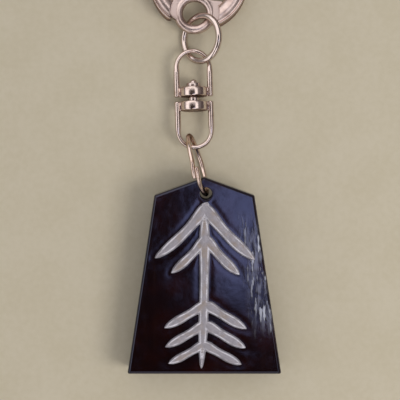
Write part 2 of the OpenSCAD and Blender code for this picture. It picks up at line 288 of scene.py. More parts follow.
def wedge_outline(inset):
    """Points round the piece's outline, set in by a distance. The sides move in, neighbouring
    sides cross in the new corners, and an arc of the corner's radius rounds each corner."""
    along = unit(np.roll(corners, -1, 0) - corners)
    inward = np.stack([-along[:, 1], along[:, 0]], -1)
    before_along, before_in = np.roll(along, 1, 0), np.roll(inward, 1, 0)
    turn = np.arccos(np.sum(along * before_along, 1))
    corner = corners + (inward + before_in) * (inset / (1 + np.cos(turn)))[:, None]
    radius = max(corner_round - inset, least_corner)
    reach = radius * np.tan(turn / 2)
    centre = corner + (inward + before_in) * (radius / (1 + np.cos(turn)))[:, None]
    points = []
    for i in range(len(corners)):
        start = np.arctan2(-before_in[i, 1], -before_in[i, 0])
        angle = start + turn[i] * np.linspace(0, 1, corner_steps + 1)
        points.append(centre[i] + radius * np.stack([np.cos(angle), np.sin(angle)], -1))
        after = (i + 1) % len(corners)
        first = corner[i] + along[i] * reach[i]
        last = corner[after] - along[i] * reach[after]
        share = np.linspace(0, 1, side_steps[i] + 1)[1:-1, None]
        points.append(first + share * (last - first))
    return np.vstack(points)


def lacquer_ripple(x, y, seed):
    """Height of the lacquer's ripples, from -1 to 0: long waves in random directions, summed."""
    rng = np.random.default_rng(seed)
    total = np.zeros_like(x)
    for heading, length, phase in zip(rng.uniform(0, np.pi, ripple_waves),
                                      rng.uniform(*ripple_lengths, ripple_waves),
                                      rng.uniform(0, 2 * np.pi, ripple_waves)):
        total += np.sin(2 * np.pi * (x * np.cos(heading) + y * np.sin(heading)) / length + phase)
    return total / ripple_waves / 2 - 0.5


# Strokes of the mark, which stands upright on the face: start, bend and end as shares of its
# width and height, then the share of a full stroke's width. The brush's shares run from a stroke's
# start to its end.
mark_w = 24.4
mark_h = 40.4
mark_up = 1.4
mark_steps = 60
stroke_w = 2.5
stroke_shares = [
    [(0, 0.93), (0.01, 0.5), (-0.03, 0), 1.05],
    [(0.035, 1), (-0.12, 0.83), (-0.49, 0.665), 1.15],
    [(-0.01, 0.99), (0.16, 0.82), (0.5, 0.655), 1.25],
    [(0.02, 0.8), (-0.09, 0.69), (-0.33, 0.575), 1],
    [(0, 0.8), (0.11, 0.69), (0.35, 0.565), 1.1],
    [(0.02, 0.395), (-0.12, 0.335), (-0.4, 0.245), 1],
    [(0, 0.395), (0.14, 0.335), (0.42, 0.24), 1.1],
    [(0.01, 0.275), (-0.12, 0.215), (-0.39, 0.13), 1],
    [(0, 0.275), (0.14, 0.215), (0.41, 0.125), 1.1],
    [(0, 0.155), (-0.12, 0.1), (-0.36, 0.03), 0.9],
    [(-0.02, 0.155), (0.12, 0.1), (0.37, 0.025), 1]]
brush_shares = [0.4, 0.8, 1, 1.04, 1, 0.93, 0.88, 0.87, 0.88, 0.92, 0.94, 0.9, 0.78, 0.56, 0.26]


def stroke_line(stroke, steps):
    """A stroke's middle line, the direction to its right, and its width, at equal steps. The line
    is a parabola through its start and end, drawn towards its bend."""
    start, middle, end = np.array(stroke[:3]) * (mark_w, mark_h) + (0, mark_up)
    t = np.linspace(0, 1, steps)[:, None]
    line = (1 - t) ** 2 * start + 2 * t * (1 - t) * middle + t ** 2 * end
    along = unit((1 - t) * (middle - start) + t * (end - middle))
    brush = np.interp(t[:, 0], np.linspace(0, 1, len(brush_shares)), brush_shares)
    return line, np.stack([along[:, 1], -along[:, 0]], -1), stroke_w * stroke[3] * brush


def off_the_mark(x, y):
    """Distance of points of the face from the edge of the nearest stroke, negative inside one: the
    least distance from a stroke's middle line, less half its width there."""
    nearest = np.full(x.shape, np.inf)
    for stroke in stroke_shares:
        line, _, width = stroke_line(stroke, mark_steps)
        away = np.hypot(x[..., None] - line[:, 0], y[..., None] - line[:, 1]) - width / 2
        nearest = np.minimum(nearest, away.min(-1))
    return nearest


def wedge_surface():
    """The lacquered wedge as one closed grid. Its loops start on the hole's wall, turn over the
    hole's rim, spread over the face in straight rays to the outline, round the edge by a power
    curve, go down the side, and come back under it to the hole. The faces are sloping planes,
    lowered by the ripples and by a shallow moat round the mark."""
    inner = wedge_outline(edge_round)
    ray = unit(inner - hole_at)
    half_hole = hole_d / 2
    loops, drops = [], []
    for a in np.radians(rim_turns):
        loops.append(hole_at + ray * (half_hole + rim_round * (1 - np.cos(a))))
        drops.append(rim_round * (1 - np.sin(a)))
    for share in np.linspace(0, 1, face_rows):
        loops.append((1 - share) * (hole_at + ray * (half_hole + rim_round)) + share * inner)
        drops.append(0)
    for a in np.radians(edge_turns):
        loops.append(wedge_outline(edge_round * (1 - np.sin(a) ** (2 / edge_power))))
        drops.append(edge_round * (1 - np.cos(a) ** (2 / edge_power)))
    loops, drops = np.array(loops), np.array(drops)[:, None]
    x, y = loops[..., 0], loops[..., 1]
    plane = base_t / 2 - y * face_slope
    to_rim = np.hypot(x - hole_at[0], y - hole_at[1]) - half_hole
    to_edge = np.minimum(np.linalg.norm(loops - inner, axis=-1), to_rim)
    on_face = drops == 0
    calm = np.clip(to_edge / ripple_fade, 0, 1) * on_face
    moat = np.exp(-((off_the_mark(x, y) - moat_from) / moat_width) ** 2)
    top = plane - drops + ripple_height * calm * lacquer_ripple(x, y, face_seed)
    top -= moat_depth * moat * np.clip(to_edge / moat_fade, 0, 1) * on_face
    under = -(plane - drops) - ripple_height * calm * lacquer_ripple(x, y, back_seed)
    down = np.linspace(0, 1, wall_rows + 2)[1:-1, None]
    wall = np.dstack([np.repeat(x[-1:], wall_rows, 0), np.repeat(y[-1:], wall_rows, 0),
                      top[-1] * (1 - down) + under[-1] * down])
    return shell(np.vstack([np.dstack([x, y, top]), wall, np.dstack([x, y, under])[::-1]]), closed=True)


swing = joints["ring_swing"]
hole_place = Place(swing["pos_m"], (1, 0, 0), swing["axis"])
piece_place = Place(hole_place(np.array([-hole_at[0], -hole_at[1], 0])), (1, 0, 0), swing["axis"])


def lacquered_wood():
    """Near-black brown lacquer: reddish where it is thin, with faint grain, lazy ripples and rubbed
    spots. Where it ran and dried along its right edge it has folds and glints bumped into it, with a
    painted pale sheen on the folds and painted white highlights for the glints. The wall of
    the hole, found by the distance from the hole's axis, is bare and matt."""
    f = Finish(bpy.data.materials.new("lacquered_wood"))
    warm = f.between(0.42, 0.7, f.noise(cloud_size, detail=3))
    colour = f.mixed(warm, deep_brown, thin_brown)
    grain = f.between(0.5, 0.85, f.noise(grain_size, 4, grain_stretch))
    colour = f.mixed(grain * 0.5, colour, grain_brown)
    across = f.along("X") + f.along("Y") * edge_lean
    crinkled = 1
    for (start, full), where in ((crinkle_left, across), (crinkle_right, across),
                                 (crinkle_foot, f.along("Y")), (crinkle_head, f.along("Y"))):
        crinkled = crinkled * f.between(start * mm, full * mm, where)
    # Painted sheen and highlights: the crinkled patch's folds are lightened to a pale grey and its glints
    # painted near white; both also bump the surface
    folds_with_painted_sheen = f.between(0.44, 0.66, f.noise(fold_size, 3, fold_stretch, roughness=0.6)) * crinkled
    colour = f.mixed(folds_with_painted_sheen * 0.8, colour, painted_sheen_grey)
    glints_with_painted_highlight = f.between(0.55, 0.64, f.noise(glint_size, 3, glint_stretch, roughness=0.55)) * crinkled
    colour = f.mixed(glints_with_painted_highlight, colour, painted_glint_white)
    (hole_x, hole_y, hole_z), (_, axis_y, axis_z) = swing["pos_m"], swing["axis"]
    lean = -axis_y / axis_z
    right = f.along("X") - hole_x
    up = f.along("Y") + f.along("Z") * lean - hole_y - hole_z * lean
    bored = f.between(((hole_d / 2 + rim_round) * mm) ** 2, (hole_d / 2 * mm) ** 2, right * right + up * up)
    rubbed = f.between(0.5, 0.72, f.noise(rub_size, detail=5))
    height = f.noise(wave_size) * 0.14 + f.noise(dimple_size) * 0.02 + folds_with_painted_sheen * 0.12 + glints_with_painted_highlight * 0.12
    return f.ready({"Base Color": f.mixed(bored, colour, hole_brown),
                    "Roughness": rubbed * 0.05 + crinkled * 0.08 + bored * 0.8 + 0.09,
                    "Normal": f.bump(height, lacquer_relief), "IOR": 1.7, "Specular Tint": mirror_blue})


add_piece(skin("lacquered_piece", [wedge_surface()], piece_place), "piece",
          lacquered_wood(), "piece_body")

# The raised mark: thick pale lacquer, silver mixed with beige, laid on with a brush in strokes
# that stand out of the face and run into each other where they cross.
stroke_rise = 0.6
stroke_root = 0.3
stroke_steps = 70
stroke_sides = 36
side_power = 0.75
crown_power = 0.85
tip_reach = 0.35
tip_draw = 0.97
flow_size = 0.12
flow_rounds = 6
silver_grey = (0.37, 0.34, 0.365, 1)
brush_tan = (0.36, 0.28, 0.22, 1)
# A painted highlight: near white along the ridge near each stroke's edge
painted_highlight_silver = (0.74, 0.71, 0.76, 1)
speck_grey = (0.6, 0.58, 0.56, 1)
ridge_rise = (0.1, 0.4)
ridge_fall = (0.8, 0.5)
tan_rise = (0.3, 0.6)
tan_size = 3.2
streak_size = 2.5
lump_size = 1.3
gloss_size = 0.8
speck_size = 0.5
pit_size = 0.4
brush_relief = 0.3


def squared(wave, power):
    """A sine or cosine raised to a power with its sign kept, which squares a circle's outline."""
    return np.sign(wave) * np.abs(wave) ** power


def brush_stroke(stroke):
    """One stroke as a closed tube: its loop is a dome over the face, with its root below, and both
    ends are rounded by drawing the loop in as a circle does."""
    line, right, width = stroke_line(stroke, stroke_steps)
    t = np.linspace(0, 1, stroke_steps)
    length = np.sum(np.linalg.norm(np.diff(line, axis=0), axis=1))
    near_end = np.minimum(t, 1 - t) * length / (tip_reach * stroke_w)
    drawn = np.sqrt(1 - np.clip(1 - near_end, 0, tip_draw) ** 2)
    angle = np.linspace(0, 2 * np.pi, stroke_sides, endpoint=False)
    across = squared(np.cos(angle), side_power)
    lifted = squared(np.sin(angle), crown_power)
    up = np.where(lifted > 0, stroke_rise * lifted, stroke_root * np.sin(angle))
    xy = line[:, None] + right[:, None] * ((drawn * width / 2)[:, None] * across)[..., None]
    z = up * np.where(up > 0, np.sqrt(drawn * width / stroke_w)[:, None], 1)
    return shell(np.dstack([xy, z]))


def flowed(mesh, size, rounds):
    """The mesh flowed into one skin: remeshed in cubes of that many millimetres, then smoothed."""
    mesh.transform(Matrix.Scale(1 / mm, 4))
    name = mesh.name
    wet = bpy.data.objects.new(name, mesh)
    bpy.context.scene.collection.objects.link(wet)
    remesh = wet.modifiers.new("Flow", "REMESH")
    remesh.mode = "VOXEL"
    remesh.voxel_size = size
    smooth = wet.modifiers.new("Smooth", "SMOOTH")
    smooth.iterations = rounds
    graph = bpy.context.evaluated_depsgraph_get()
    dry = bpy.data.meshes.new_from_object(wet.evaluated_get(graph))
    bpy.data.objects.remove(wet)
    bpy.data.meshes.remove(mesh)
    dry.name = name
    dry.transform(Matrix.Scale(mm, 4))
    return dry


def raised_lacquer():
    """Pale lacquer, satin: silver-grey with a painted highlight, near white in streaks, along a ridge
    near the strokes' edges, tan in patches inside, and specks. How far inside an edge a point lies is stored
    in the mesh."""
    f = Finish(bpy.data.materials.new("raised_lacquer"))
    inside = f.stored("inside")
    ridge_with_painted_highlight = f.between(*ridge_rise, inside) * f.between(*ridge_fall, inside)
    tan = f.between(0.45, 0.7, f.noise(tan_size, detail=3)) * f.between(*tan_rise, inside)
    colour = f.mixed(tan * 0.7, silver_grey, brush_tan)
    # Painted highlight: the ridge near the edges is lightened towards near white in streaks, and is also
    # bumped
    colour = f.mixed(ridge_with_painted_highlight * f.between(0.32, 0.6, f.noise(streak_size, detail=3)), colour, painted_highlight_silver)
    speck = f.between(0.62, 0.8, f.noise(speck_size))
    colour = f.mixed(speck * 0.35, colour, speck_grey)
    height = ridge_with_painted_highlight * 0.6 + f.noise(lump_size) * 0.6 + f.noise(pit_size) * 0.1
    return f.ready({"Base Color": colour, "Metallic": 0.25,
                    "Roughness": f.noise(gloss_size, detail=3) * 0.2 + 0.26,
                    "Normal": f.bump(height, brush_relief), "IOR": 1.5})


tilt = np.arctan(face_slope)
face_axis = piece_place.axes[2] * np.cos(tilt) + piece_place.axes[1] * np.sin(tilt)
face_place = Place(piece_place(np.array([0, 0, base_t / 2])), (1, 0, 0), face_axis)
strokes = skin("arrow_mark", [brush_stroke(stroke) for stroke in stroke_shares], face_place)
mark = flowed(strokes, flow_size, flow_rounds)
spots = np.empty(len(mark.vertices) * 3)
mark.vertices.foreach_get("co", spots)
spot_x, spot_y, _ = face_place.back(spots.reshape(-1, 3)).T
inside_edge = mark.attributes.new("inside", "FLOAT", "POINT")
inside_edge.data.foreach_set("value", -off_the_mark(spot_x, spot_y))
add_piece(mark, "piece", raised_lacquer(), "raised_arrow")

# The lower jump ring: a turn of thin plated wire through the hole, stood on edge. It was opened
# to hang the swivel on it, and its cut ends came back side by side, lapping by a few millimetres.
low_ring_od = 15.9
low_ring_wire = 1.1
low_ring_lap = 2.5
low_cut_at = 104
low_spread = 0.56
spread_reach = 38
wire_sides = 40
turn_steps = 220
haze_size = 1.2
dent_size = 1.5
scratch_size = 0.3
scratch_stretch = (1, 0.12, 0.6)
mirror_umber = (0.25, 0.18, 0.16, 1)

# The rounding of a cut end: how far it reaches, rows at shares of that reach, and how wide the wire
# is at each of them and behind the last
cut_round = 0.18
cut_ways = np.array([0, 0.2, 0.55])
cut_widths = [0.68, 0.86, 0.97, 1]


def smooth_step(share):
    """A share from 0 to 1 that starts and ends level: three times its square less twice its cube."""
    return share * share * (3 - 2 * share)


def wire(path, up, thickness, closed=False):
    """Round wire along a path: a circle square to the path at each point, as wide as its thickness
    there. Up is any direction that the path never takes."""
    if closed:
        along = unit(np.roll(path, -1, 0) - np.roll(path, 1, 0))
    else:
        along = unit(np.gradient(path, axis=0))
    right = unit(np.cross(along, up))
    lift = np.cross(right, along)
    angle = np.linspace(0, 2 * np.pi, wire_sides, endpoint=False)[:, None]
    circle = right[:, None] * np.cos(angle) + lift[:, None] * np.sin(angle)
    return shell(path[:, None] + circle * (np.broadcast_to(thickness, len(path)) / 2)[:, None, None], closed)


def jump_ring(outer, thickness, gap, cut_at, spread):
    """A turn of wire with a gap between its cut ends, or a lap where the gap is negative. The ends'
    edges are rounded. Towards the cut, one end moves out of the ring's plane by the spread and the
    other the opposite way."""
    radius = (outer - thickness) / 2
    half_gap = np.degrees(gap / radius) / 2
    edge = np.degrees(cut_round / radius)
    last = 360 - 2 * half_gap
    turn = np.concatenate([edge * cut_ways, np.linspace(edge, last - edge, turn_steps),
                           last - edge * cut_ways[::-1]])
    to_end = np.minimum(turn, last - turn)
    thick = thickness * np.interp(to_end, edge * np.append(cut_ways, 1), cut_widths)
    near_cut = smooth_step(np.clip(1 - to_end / spread_reach, 0, 1))
    angle = np.radians(cut_at + half_gap + turn)
    aside = spread * near_cut * np.where(turn < 180, 1, -1)
    return wire(np.stack([radius * np.cos(angle), radius * np.sin(angle), aside], -1), (0, 0, 1), thick)


def plated(name, tint, shade, roughness, haze, scratch, brown_cloud_size=2.4):
    """Polished plating: the tint darkens to a browner shade in random clouds, haze dulls it in spots, and
    hair-fine scratches and shallow dents cross it. Seen aslant it mirrors in dark umber."""
    f = Finish(bpy.data.materials.new(name))
    brown_clouds = f.between(0.46, 0.8, f.noise(brown_cloud_size, detail=4))
    dull = f.between(0.45, 0.75, f.noise(haze_size, detail=4))
    lines = f.noise(scratch_size, 2, scratch_stretch) * 0.5 + f.noise(dent_size) * 0.5
    return f.ready({"Base Color": f.mixed(brown_clouds, tint, shade), "Metallic": 1.0,
                    "Roughness": dull * haze + roughness, "Normal": f.bump(lines, scratch),
                    "Specular Tint": mirror_umber})


chain_lift = joints["chain_lift"]
low_ring_place = Place(chain_lift["pos_m"], np.cross((0, 0, 1), chain_lift["axis"]), chain_lift["axis"])
low_ring = jump_ring(low_ring_od, low_ring_wire, -low_ring_lap, low_cut_at, low_spread)
warm_plate = plated("warm_plate", tint=(0.82, 0.68, 0.6, 1), shade=(0.52, 0.33, 0.2, 1), roughness=0.15,
                    haze=0.12, scratch=0.003)
add_piece(skin("lower_ring", [low_ring], low_ring_place), "lower_ring", warm_plate,
          "lower_jump_ring")

# The swivel's two halves: each is cast in one, an arch and two legs with a round collar between
# them, then tumbled and plated. The collars stand face to face on the rivet.
eye_w = 9.3
half_len = 11.9
eye_wire = 1.1
leg_d = 1.45
leg_taper = 2.5
leg_tip = 0.25
leg_tip_in = 0.3
leg_steps = 60
bend_steps = 90
collar_d = 6.8
collar_t = 2.3
collar_gap = 1.2
collar_round = 0.42
bar_t = 0.9
bar_power = 0.8
bar_from = 0.1
bar_sides = 48
bar_steps = 24
rivet_d = 1.6
run_gap = 0.05
ease_share = 0.45
ease_steps = 7
turned_steps = 72
arch_r = (eye_w - eye_wire) / 2
gap_y = half_len - eye_wire / 2
top_y = 2 * gap_y + collar_gap


def eased(outline, reach, closed=True):
    """An outline with its corners turned to parabolas, which start at that reach from the corner,
    or at a share of a shorter side. An open outline keeps its two end points."""
    outline = np.array(outline, float)
    back, ahead = np.roll(outline, 1, 0) - outline, np.roll(outline, -1, 0) - outline
    start = outline + back * np.minimum(ease_share, reach / np.linalg.norm(back, axis=1))[:, None]
    end = outline + ahead * np.minimum(ease_share, reach / np.linalg.norm(ahead, axis=1))[:, None]
    t = np.linspace(0, 1, ease_steps)[:, None, None]
    arcs = ((1 - t) ** 2 * start + 2 * t * (1 - t) * outline + t ** 2 * end).transpose(1, 0, 2)
    if closed:
        return arcs.reshape(-1, 2)
    return np.vstack([outline[:1], arcs[1:-1].reshape(-1, 2), outline[-1:]])


def lathe(outline, bored=False, axis=2):
    """A solid turned about an axis: the outline's points are distances from it and heights along
    it. A bored one has a closed outline, and a full one is closed by flat ends."""
    angle = np.linspace(0, 2 * np.pi, turned_steps, endpoint=False)
    away, height = np.array(outline).T[..., None]
    points = np.dstack([away * np.cos(angle), away * np.sin(angle), height + 0 * angle])
    return shell(np.roll(points, axis - 2, -1), closed=bored)


def swivel_half(bore):
    """An arch of wire whose legs thicken below the bend by a smooth step and round off at their
    tips, the collar as a turned ring with eased edges, and the bars that join it to the legs."""
    straight = np.linspace(0, 1, leg_steps)
    bend = np.radians(np.linspace(180, 360, bend_steps))[1:-1]
    leg = arch_r + (gap_y - arch_r) * straight
    flat = 0 * straight
    path = np.vstack([np.stack([flat - arch_r, leg[::-1], flat], -1),
                      np.stack([arch_r * np.cos(bend), arch_r + arch_r * np.sin(bend), 0 * bend], -1),
                      np.stack([flat + arch_r, leg, flat], -1)])
    down = smooth_step(np.clip((path[:, 1] - arch_r) / leg_taper + 0.5, 0, 1))
    near_tip = np.clip(1 - (gap_y - path[:, 1]) / leg_tip, 0, 1)
    thick = (eye_wire + (leg_d - eye_wire) * down) * (1 - leg_tip_in * near_tip ** 2)
    collar = eased([(bore / 2, gap_y - collar_t), (collar_d / 2, gap_y - collar_t), (collar_d / 2, gap_y),
                    (bore / 2, gap_y)], collar_round)
    angle = np.linspace(0, 2 * np.pi, bar_sides, endpoint=False)
    bar_y = gap_y - collar_t / 2 + collar_t / 2 * squared(np.cos(angle), bar_power)
    bar_z = bar_t / 2 * squared(np.sin(angle), bar_power)
    bars = []
    for side in (-1, 1):
        x = side * np.linspace(bore / 2 + bar_from, arch_r, bar_steps)[:, None]
        bars.append(shell(np.dstack([x + 0 * angle, bar_y + 0 * x, bar_z + 0 * x])))
    return [wire(path, (0, 0, 1), thick), lathe(collar, bored=True, axis=1), *bars]


spin = joints["swivel_spin"]
spin_across = np.cross(spin["axis"], (0, 0, 1))
swivel_place = Place(spin["pos_m"], spin_across, np.cross(spin_across, spin["axis"]))
nickel = plated("nickel_plate", tint=(0.8, 0.69, 0.63, 1), shade=(0.46, 0.34, 0.29, 1), roughness=0.14,
                haze=0.1, scratch=0.003)
add_piece(skin("swivel_lower", swivel_half(rivet_d), swivel_place), "swivel_lower", nickel,
          "swivel_lower_eye")
upper_half = [(points * (1, -1, 1) + (0, top_y, 0), faces)
              for points, faces in swivel_half(rivet_d + 2 * run_gap)]
add_piece(skin("swivel_upper", upper_half, swivel_place), "swivel_upper", nickel,
          "swivel_upper_eye")

# The rivet: a turned steel pin, fast in the lower collar. Its flange keeps the collars apart, and
# its head, with a small nub on it, holds the upper collar so that it can turn.
rivet_head_d = 3.4
rivet_head_t = 1.0
rivet_nub_d = 1.8
rivet_bevel = 0.1
rivet_ease = 0.22
nub_turns = np.linspace(0, 84, 12)
shank_r = rivet_d / 2
flange_r = (rivet_d + rivet_head_d) / 4
head_r = rivet_head_d / 2
nub_r = rivet_nub_d / 2
foot_y = gap_y - collar_t
flange_y = gap_y + collar_gap - run_gap
head_y = gap_y + collar_gap + collar_t + run_gap
head_top = head_y + rivet_head_t
shank = eased([(shank_r - rivet_bevel, foot_y), (shank_r, foot_y + rivet_bevel), (shank_r, gap_y),
               (flange_r, gap_y), (flange_r, flange_y), (shank_r, flange_y), (shank_r, head_y),
               (head_r, head_y), (head_r, head_top), (nub_r, head_top)], rivet_ease, closed=False)
nub = np.radians(nub_turns)[1:]
nub_shape = np.stack([nub_r * np.cos(nub), head_top + nub_r * np.sin(nub)], -1)
steel = plated("rivet_steel", tint=(0.72, 0.62, 0.58, 1), shade=(0.4, 0.3, 0.27, 1), roughness=0.14,
               haze=0.1, scratch=0.003)
add_piece(skin("rivet", [lathe(np.vstack([shank, nub_shape]), axis=1)], swivel_place), "swivel_lower",
          steel, "swivel_rivet")

# The upper jump ring: thicker nickel-plated wire. It leans with its left edge on the table, its
# right side over the key ring's eye, and its cut where the swivel's arch hides it.
up_ring_od = 12.7
up_ring_wire = 1.55
up_ring_gap = 0.25
up_cut_at = 218
ring_turn = joints["upper_ring_turn"]
up_ring_place = Place(ring_turn["pos_m"], np.cross((0, 1, 0), ring_turn["axis"]), ring_turn["axis"])
up_ring = jump_ring(up_ring_od, up_ring_wire, up_ring_gap, up_cut_at, spread=0)
nickel_wire = plated("nickel_wire", tint=(0.76, 0.67, 0.62, 1), shade=(0.44, 0.34, 0.3, 1), roughness=0.12,
                     haze=0.1, scratch=0.003)
add_piece(skin("upper_ring", [up_ring], up_ring_place), "upper_ring", nickel_wire,
          "upper_jump_ring")

# The key ring: a cast oval of domed band with a raised rim, open on its right side for the gate.
# A thin web carries its round eye, and two ears with a slot between them hold the gate's pin.
oval_w = 24.4
side_len = 12.0
band_w = 4.4
band_t = 5.0
rim_w = 0.8
clip_eye_d = 5.8
clip_eye_bar = 2.2
eye_to_arc = 8.0
pin_d = 1.5
tongue_t = 1.4
spring_wire = 0.35
spring_layers = 3
clip_turn = 7
part_gap = 0.3
nose_len = 1.6
lap_len = 1.2
lap_gap = 0.4
web_top = 3.6
web_low = -2.2
web_t = 1.9
web_power = 0.3
arm_space = 1.0
ear_share = 0.96
ear_lap = 0.2
ear_ease = 0.3
band_ease = 0.3
least_rise = 0.05
eye_steps = 120
hook_steps = 240
foot_steps = 60
ear_steps = 30
web_steps = 40
web_sides = 56
oval_r = oval_w / 2
band_r = oval_r - band_w / 2
bore_r = oval_r - band_w
rim_r = oval_r - rim_w
bar_r = (clip_eye_d + clip_eye_bar) / 2
arm_r = bar_r + clip_eye_bar / 2 + arm_space
nose_at = side_len - nose_len
lip_r = band_r + part_gap
knuckle_r = band_w / 2 - run_gap
free_r = knuckle_r + part_gap
slot_h = tongue_t + spring_layers * (spring_wire + run_gap)
ear_top = ear_share * band_t / 2
half_round = np.pi * band_r

# Points of half the band's section, over its dome and then over its rim: shares of the way across
# from the inside to the rim or over the rim, and of the half thickness
dome_shares = [(0, 0.34), (0.06, 0.52), (0.2, 0.72), (0.4, 0.9), (0.6, 0.97), (0.8, 0.93), (0.97, 0.8)]
rim_shares = [(0.12, 0.8), (0.35, 0.94), (0.6, 1), (0.88, 0.92), (0.99, 0.76)]


def band_profile():
    """Half the band's section: distances from the oval's middle, and heights."""
    dome = [(bore_r + x * (rim_r - bore_r), z * band_t / 2) for x, z in dome_shares]
    rim = [(rim_r + x * rim_w, z * band_t / 2) for x, z in rim_shares]
    return eased(dome + rim, band_ease, closed=False).T


def round_oval(way, away):
    """Points of the oval at a distance from its middle line. Way 0 is at the foot of the right
    side. Below 0 it runs down the right arc, above it up the side, over the top and down the left."""
    down = way - 2 * side_len - half_round
    angle = np.where(way < 0, way / band_r,
                     np.where(way < side_len + half_round, (way - side_len) / band_r, np.pi + down / band_r))
    right = (way >= 0) & (way < side_len)
    left = (way >= side_len + half_round) & (down < 0)
    base = np.where((way < 0) | (down >= 0), eye_to_arc, eye_to_arc + side_len)
    x = np.where(right, away, np.where(left, -away, away * np.cos(angle)))
    y = np.where(right, eye_to_arc + way, np.where(left, eye_to_arc - down, base + away * np.sin(angle)))
    return x, y


def band(start, stop, steps, floor=None):
    """A stretch of band as a closed shell. Each line of its surface has its own start and stop, so
    the ends can be cut square, stepped or hollow. With a floor it stands on that height, and
    otherwise its under side mirrors its top."""
    away, top = band_profile()
    top = top if floor is None else np.maximum(top, floor + least_rise)
    under = -top if floor is None else np.full_like(top, floor)
    away = np.concatenate([away, away[::-1]])
    height = np.concatenate([top, under[::-1]])
    share = np.linspace(0, 1, steps)[:, None]
    way = start(away) * (1 - share) + stop(away) * share
    x, y = round_oval(way, away)
    return shell(np.dstack([x, y, height + 0 * x]), caps="strip")


def arm_end(away):
    """Way, down either lower arc, at which the band ends: on the circle left free round the eye, by
    the law of cosines, or at the web's low edge."""
    circle = np.arcsin((arm_r ** 2 - away ** 2 - eye_to_arc ** 2) / (2 * eye_to_arc * away))
    level = np.arcsin(np.clip((web_low - eye_to_arc) / away, -1, 1))
    return -np.maximum(circle, level) * band_r


def below_pin(away):
    """Way at which the band meets the circle left free round the gate's pin, on the arc below it,
    by the law of cosines."""
    return -np.arccos((away ** 2 + band_r ** 2 - free_r ** 2) / (2 * away * band_r)) * band_r


def above_pin(away):
    """The same on the straight side above the pin, by the sides of a right-angled triangle."""
    return np.sqrt(free_r ** 2 - (away - band_r) ** 2)


def hook_start(away):
    """Way at which the hook's nose starts: stepped, and lower outside, where it laps the gate's lip."""
    return nose_at - lap_len * (away > lip_r)


def hook_stop(away):
    """Way at which the hook ends, down the left arc."""
    return 2 * side_len + half_round + arm_end(away)


def web_half(side):
    """Half the web: rows from low to high, each a flat loop from inside the eye's bar to inside
    the band."""
    y = np.linspace(web_low, web_top, web_steps)[:, None]
    inner = np.sqrt(bar_r ** 2 - y ** 2)
    outer = np.sqrt((band_r + band_w / 4) ** 2 - (y - eye_to_arc) ** 2)
    angle = np.linspace(0, 2 * np.pi, web_sides, endpoint=False)
    x = (inner + outer) / 2 + (outer - inner) / 2 * squared(np.cos(angle), web_power)
    z = web_t / 2 * squared(np.sin(angle), web_power)
    return shell(np.dstack([side * x, y + 0 * x, z + 0 * x]))


def ring_of(inner, outer, low, high, ease):
    """A flat ring round the gate's pin, with eased edges."""
    points, faces = lathe(eased([(inner, low), (outer, low), (outer, high), (inner, high)], ease), bored=True)
    return points + pivot, faces


gate_joint = joints["gate_open"]
clip_x = (np.cos(np.radians(clip_turn)), -np.sin(np.radians(clip_turn)), 0)
pivot = np.array([band_r, eye_to_arc, 0])
pin_place = Place(gate_joint["pos_m"], clip_x, gate_joint["axis"])
clip_place = Place(pin_place(-pivot), clip_x, gate_joint["axis"])
eye_turn = np.linspace(0, 2 * np.pi, eye_steps, endpoint=False)
eye_path = np.stack([bar_r * np.cos(eye_turn), bar_r * np.sin(eye_turn), 0 * eye_turn], -1)
ear_shells = [band(lambda away: below_pin(away) - ear_lap, lambda away: 0 * away, ear_steps, slot_h / 2),
              ring_of(pin_d / 2, knuckle_r, slot_h / 2, ear_top, ear_ease)]
ring_shells = [
    band(hook_start, hook_stop, hook_steps),
    band(lambda away: -arm_end(away), below_pin, foot_steps),
    *ear_shells,
    *[(points * (1, 1, -1), faces) for points, faces in ear_shells],
    wire(eye_path, (0, 0, 1), clip_eye_bar, closed=True),
    web_half(1),
    web_half(-1)]
cast = plated("cast_plate", tint=(0.76, 0.64, 0.59, 1), shade=(0.42, 0.31, 0.27, 1), roughness=0.28,
              haze=0.12, scratch=0.006, brown_cloud_size=4)
add_piece(skin("key_ring", ring_shells, clip_place), "key_ring", cast, "key_ring_body")

# The gate: a short stretch of the same band, hinged at its foot by a flat tongue between the
# ears. Its lip laps inside the nose of the hook, so it can only open inwards.
gate_steps = 80
tongue_edge = 0.15
tongue_lap = 0.5
tongue_columns = 19
tongue_rows = 16
tongue_low = run_gap - slot_h / 2
tongue_high = tongue_low + tongue_t
tongue_r = knuckle_r - rim_w / 4
tongue_half = tongue_r - tongue_edge
tongue_in = (pin_d / 2 + tongue_r) / 2


def gate_lip(away):
    """Way at which the gate ends: stepped, and lower outside its lip."""
    return nose_at - lap_gap - lap_len * (away > lip_r - part_gap / 2)


def gate_tongue():
    """The tongue's flat link: a strip up the side into the gate's band. It starts in the metal of
    the tongue's ring, half on a circle round the bore and half on the line across the pin."""
    away = band_r + tongue_half * np.linspace(-1, 1, tongue_columns)
    away = np.concatenate([away, away[::-1]])
    height = np.repeat([tongue_low, tongue_high], tongue_columns)
    start = np.sqrt(np.clip(tongue_in ** 2 - (away - band_r) ** 2, 0, None))
    share = np.linspace(0, 1, tongue_rows)[:, None]
    x, y = round_oval(start + share * (above_pin(away) + tongue_lap - start), away)
    return shell(np.dstack([x, y, height + 0 * x]), caps="strip")


gate_shells = [
    band(above_pin, gate_lip, gate_steps),
    gate_tongue(),
    ring_of(pin_d / 2 + run_gap, tongue_r, tongue_low, tongue_high, tongue_edge)]
add_piece(skin("gate", gate_shells, clip_place), "gate", cast, "key_ring_gate")

# The gate's pin is a short steel rod peened over at both ends, and its spring is two and a half
# turns of thin steel wire round it, over the tongue, with a straight leg at each end.
pin_peen = 0.16
pin_turns = np.linspace(0, 80, 8)
spring_turns = 2.5
spring_leg = 1.1
spring_steps = 140
peen = np.radians(pin_turns)
pin_end = np.stack([pin_d / 2 * np.cos(peen), ear_top - pin_peen + pin_peen * np.sin(peen)], -1)
pin_shape = np.vstack([(pin_end * (1, -1))[::-1], pin_end])
add_piece(skin("pin", [lathe(pin_shape)], pin_place), "key_ring", steel, "gate_pin")

